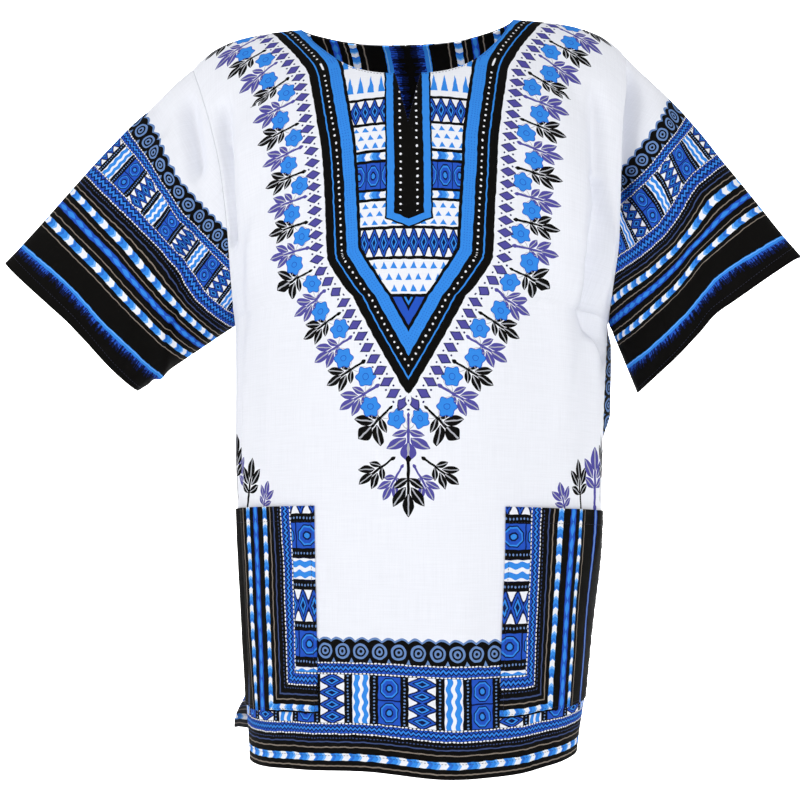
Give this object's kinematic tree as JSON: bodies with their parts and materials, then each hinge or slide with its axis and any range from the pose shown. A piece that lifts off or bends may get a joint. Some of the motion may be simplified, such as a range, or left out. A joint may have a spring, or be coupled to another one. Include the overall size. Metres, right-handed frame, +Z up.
{
  "type": "worn pullover shirt",
  "caption": "Wide short-sleeved cotton pullover shirt with slit neck, two patch pockets and side vents, hollow as worn.",
  "frame": {"origin": "middle of the shoulders at the height of the neck points, where the wearer carries the shirt", "axes": "+Z up, front towards -Y, the left sleeve in a front view at -X"},
  "size_m": [0.795, 0.2813, 0.7329],
  "materials": {
    "printed_cotton": "matte plain-weave cotton, white ground with printed bands",
    "border_cotton": "matte plain-weave cotton, all-over blue, black and white border print",
    "thread": "matte sewing thread"
  },
  "bodies": {
    "root": {"front_panel": "printed_cotton", "back_panel": "printed_cotton", "sleeve_left": "printed_cotton", "sleeve_right": "printed_cotton", "pocket_left": "border_cotton", "pocket_right": "border_cotton", "neck_facing": "border_cotton"}
  },
  "joints": []
}
